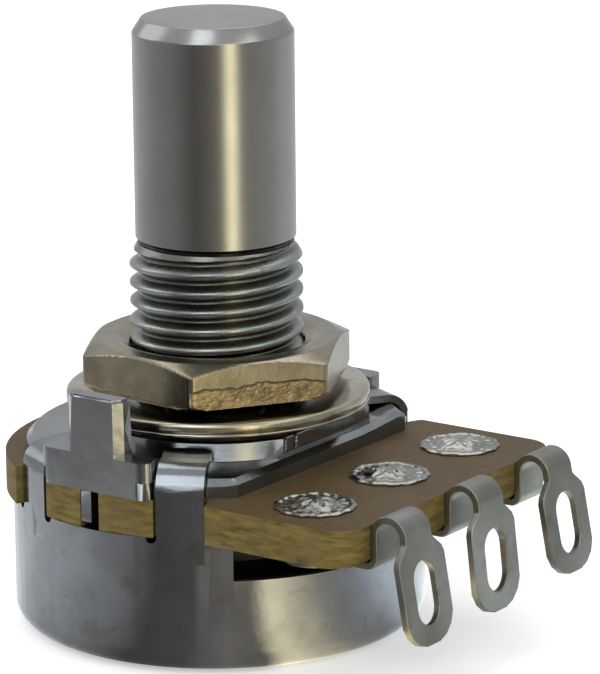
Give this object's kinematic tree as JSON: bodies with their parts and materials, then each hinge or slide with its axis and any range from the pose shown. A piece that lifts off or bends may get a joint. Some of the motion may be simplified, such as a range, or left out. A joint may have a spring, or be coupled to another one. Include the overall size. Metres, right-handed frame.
{
  "type": "rotary potentiometer",
  "caption": "Panel potentiometer with plain round shaft, threaded bushing, loose hex nut and washer, locating peg, crimped round steel cover and folded solder lugs",
  "frame": {"origin": "centre of the flat back of the steel cover", "axes": "+Z along the shaft towards its tip, X along the row of solder lugs with the locating peg at -X, lugs on the -Y side"},
  "size_m": [0.0164, 0.0222, 0.0242],
  "materials": {
    "cast_plate": "bright plated die casting",
    "cover_steel": "tin plated pressed sheet",
    "laminate": "cut paper laminate",
    "washer_plate": "nickel plated",
    "nut_plate": "nickel plated, sheared flats",
    "shaft_metal": "turned and plated",
    "clip_steel": "spring steel",
    "rotor_plastic": "moulded",
    "spring_bronze": "spring bronze",
    "carbon_print": "printed carbon",
    "silver_print": "printed silver",
    "lug_tin": "matte tin plate",
    "rivet_tin": "bright tin plate"
  },
  "bodies": {
    "housing": {"front_plate": "cast_plate", "rear_cover": "cover_steel", "wafer": "laminate", "flat_washer": "washer_plate", "resistive_track": "carbon_print", "collector_ring": "silver_print", "track_pad_1": "silver_print", "track_pad_3": "silver_print", "terminal_lug_1": "lug_tin", "terminal_lug_2": "lug_tin", "terminal_lug_3": "lug_tin", "rivet_1": "rivet_tin", "rivet_2": "rivet_tin", "rivet_3": "rivet_tin"},
    "shaft_set": {"shaft": "shaft_metal", "retaining_clip": "clip_steel", "rotor": "rotor_plastic", "wiper_spring": "spring_bronze"},
    "nut": {"hex_nut": "nut_plate"}
  },
  "joints": [
    {"name": "shaft_turn", "type": "hinge", "parent": "housing", "child": "shaft_set", "pos_m": [0, 0, 0.0113], "axis": [0, 0, 1], "range_deg": [-150, 150]},
    {"name": "nut_turn", "type": "hinge", "parent": "housing", "child": "nut", "pos_m": [0, 0, 0.0106], "axis": [0, 0, 1], "range_deg": [-45, 45]}
  ]
}
